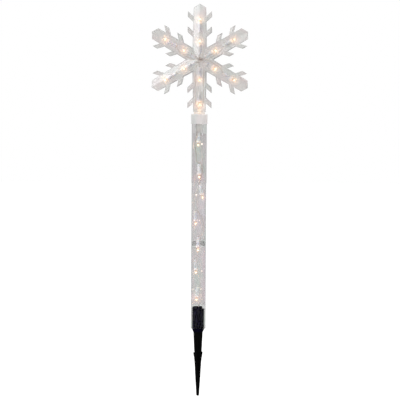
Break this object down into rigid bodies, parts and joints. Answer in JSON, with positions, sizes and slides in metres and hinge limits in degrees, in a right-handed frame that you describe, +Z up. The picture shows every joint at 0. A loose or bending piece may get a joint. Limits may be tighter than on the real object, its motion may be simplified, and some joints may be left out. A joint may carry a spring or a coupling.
{
  "type": "lighted snowflake pathway stake",
  "caption": "Garden pathway stake: clear faceted snowflake on a round stem above a clear pole tube with mini lamps and film inside, black base plug and cruciform ground spike.",
  "frame": {"origin": "on the pole's axis at ground level, the top of the spike's fins", "axes": "+Z up along the pole; the snowflake lies in the XZ plane with its front facing -Y"},
  "size_m": [0.1742, 0.0296, 0.7109],
  "materials": {
    "clear_flake": "clear gloss, faint pink and green tints",
    "clear_tube": "clear gloss",
    "frosted_cap": "translucent white, satin",
    "film": "crinkled grey film with iridescent tints",
    "plug_black": "satin black moulding",
    "lamp_holder": "clear to milky gloss",
    "bulb_glass": "clear glass, lit warm white",
    "wire": "copper strands in clear insulation",
    "gland_rubber": "matte",
    "spike_black": "satin black moulding, slight gloss on the edges"
  },
  "bodies": {
    "spike": {"ground_spike": "spike_black"},
    "pole": {"tube": "clear_tube", "cap": "frosted_cap", "stem_bushing": "frosted_cap", "film_upper": "film", "film_lower": "film", "liner_clip": "plug_black", "lamp_holder_pole_1": "lamp_holder", "lamp_holder_pole_2": "lamp_holder", "lamp_holder_pole_3": "lamp_holder", "lamp_holder_pole_4": "lamp_holder", "lamp_holder_pole_5": "lamp_holder", "lamp_holder_pole_6": "lamp_holder", "lamp_holder_pole_7": "lamp_holder", "bulb_pole_1": "bulb_glass", "bulb_pole_2": "bulb_glass", "bulb_pole_3": "bulb_glass", "bulb_pole_4": "bulb_glass", "bulb_pole_5": "bulb_glass", "bulb_pole_6": "bulb_glass", "bulb_pole_7": "bulb_glass", "wires_pole": "wire", "plug_sleeve": "clear_tube", "base_plug": "plug_black", "cord_gland": "gland_rubber"},
    "head": {"snowflake_front": "clear_flake", "snowflake_rear": "clear_flake", "stem": "clear_flake", "lamp_holder_head_01": "lamp_holder", "lamp_holder_head_02": "lamp_holder", "lamp_holder_head_03": "lamp_holder", "lamp_holder_head_04": "lamp_holder", "lamp_holder_head_05": "lamp_holder", "lamp_holder_head_06": "lamp_holder", "lamp_holder_head_07": "lamp_holder", "lamp_holder_head_08": "lamp_holder", "lamp_holder_head_09": "lamp_holder", "lamp_holder_head_10": "lamp_holder", "lamp_holder_head_11": "lamp_holder", "lamp_holder_head_12": "lamp_holder", "bulb_head_01": "bulb_glass", "bulb_head_02": "bulb_glass", "bulb_head_03": "bulb_glass", "bulb_head_04": "bulb_glass", "bulb_head_05": "bulb_glass", "bulb_head_06": "bulb_glass", "bulb_head_07": "bulb_glass", "bulb_head_08": "bulb_glass", "bulb_head_09": "bulb_glass", "bulb_head_10": "bulb_glass", "bulb_head_11": "bulb_glass", "bulb_head_12": "bulb_glass", "wires_head": "wire"}
  },
  "joints": [
    {"name": "pole_lift", "type": "slide", "parent": "spike", "child": "pole", "axis": [0, 0, 1], "range_m": [0, 0.032]},
    {"name": "head_turn", "type": "hinge", "parent": "pole", "child": "head", "pos_m": [0, 0, 0.4243], "axis": [0, 0, 1], "range_deg": [-90, 90]}
  ]
}
